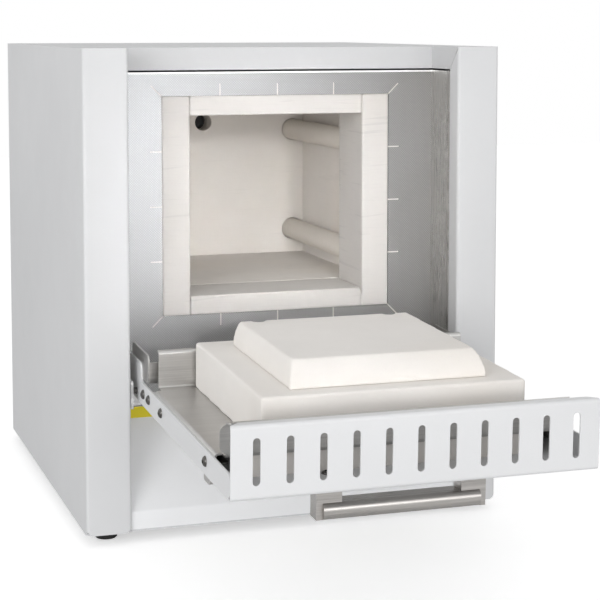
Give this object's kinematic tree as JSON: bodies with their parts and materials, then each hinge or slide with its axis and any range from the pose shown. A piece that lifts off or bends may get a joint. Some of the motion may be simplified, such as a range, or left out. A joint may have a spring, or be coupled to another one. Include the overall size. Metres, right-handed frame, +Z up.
{
  "type": "muffle furnace",
  "caption": "Benchtop muffle furnace with a flap door that folds down to carry its insulating plug, slanted control fascia and rear flue.",
  "frame": {"origin": "on the floor, below the middle of the plane through the two columns' front faces", "axes": "+X to the right seen from the front, +Y from the front to the back, +Z up"},
  "size_m": [0.53, 1.004, 0.592],
  "materials": {
    "painted_side": "fine textured light grey powder coat",
    "painted_cover": "fine textured light grey powder coat",
    "painted_fascia": "satin light grey powder coat",
    "painted_door": "satin light grey powder coat",
    "yellow_band": "satin yellow band",
    "embossed_steel": "stainless with a fine embossed weave",
    "stainless": "satin stainless",
    "zinc_sheet": "galvanised sheet",
    "fibre_collar": "matt machined ceramic fibre",
    "fibre_board": "matt ceramic fibre board",
    "fibre_slab": "matt vacuum-formed ceramic fibre",
    "ceramic_tube": "matt unglazed tube",
    "element_metal": "oxidised resistance wire",
    "sink_aluminium": "extruded",
    "black_plastic": "fine grained",
    "controller_plastic": "fine grained",
    "display_glass": "blank dark window",
    "keypad_membrane": "plain keys with no legends",
    "rocker_plastic": "moulded",
    "foot_rubber": "moulded",
    "screw_steel": "stainless button heads",
    "bracket_steel": "zinc plated",
    "liner_steel": "brushed stainless",
    "handle_steel": "dark brushed stainless"
  },
  "bodies": {
    "housing": {"side_panel_left": "painted_side", "side_panel_right": "painted_side", "top_cover": "painted_cover", "rear_panel": "painted_side", "base_pan": "painted_side", "control_fascia": "painted_fascia", "front_rail": "painted_fascia", "sill_strip": "yellow_band", "front_plate": "embossed_steel", "cheek_left": "stainless", "cheek_right": "stainless", "inner_jacket": "zinc_sheet", "jacket_supports": "zinc_sheet", "collar_left": "fibre_collar", "collar_right": "fibre_collar", "collar_top": "fibre_collar", "collar_bottom": "fibre_collar", "insulation_floor": "fibre_board", "insulation_roof": "fibre_board", "insulation_left": "fibre_board", "insulation_right": "fibre_board", "insulation_rear": "fibre_board", "heater_tube_left_lower": "ceramic_tube", "heater_tube_left_upper": "ceramic_tube", "heater_tube_right_lower": "ceramic_tube", "heater_tube_right_upper": "ceramic_tube", "heating_elements": "element_metal", "element_end_caps": "ceramic_tube", "thermocouple": "ceramic_tube", "flue_spigot": "stainless", "heat_sink": "sink_aluminium", "solid_state_relay": "black_plastic", "terminal_block": "black_plastic", "cable_gland": "black_plastic", "controller_housing": "controller_plastic", "display_window": "display_glass", "membrane_keypad": "keypad_membrane", "mains_switch_frame": "black_plastic", "feet": "foot_rubber", "rear_screws": "screw_steel", "hinge_bracket_left": "bracket_steel", "hinge_bracket_right": "bracket_steel", "hinge_pin_left": "screw_steel", "hinge_pin_right": "screw_steel", "door_switch": "black_plastic"},
    "door": {"door_shell": "painted_door", "door_liner": "liner_steel", "liner_ears": "liner_steel", "door_backing": "fibre_board", "door_slab": "fibre_slab", "door_plug": "fibre_slab", "handle_bar": "handle_steel", "handle_posts": "handle_steel", "handle_screws": "screw_steel", "arm_screws": "screw_steel"},
    "air_slide": {"air_slide": "liner_steel"},
    "mains_rocker": {"mains_switch_rocker": "rocker_plastic"}
  },
  "joints": [
    {"name": "door_hinge", "type": "hinge", "parent": "housing", "child": "door", "pos_m": [0, 0.013, 0.182], "axis": [-1, 0, 0], "range_deg": [0, 92.2]},
    {"name": "air_slide_travel", "type": "slide", "parent": "door", "child": "air_slide", "axis": [0, -0.9993, -0.0384], "range_m": [0, 0.025]},
    {"name": "mains_rocker_tilt", "type": "hinge", "parent": "housing", "child": "mains_rocker", "pos_m": [0.184, 0.047, 0.0825], "axis": [-1, 0, 0], "range_deg": [0, 16]}
  ]
}
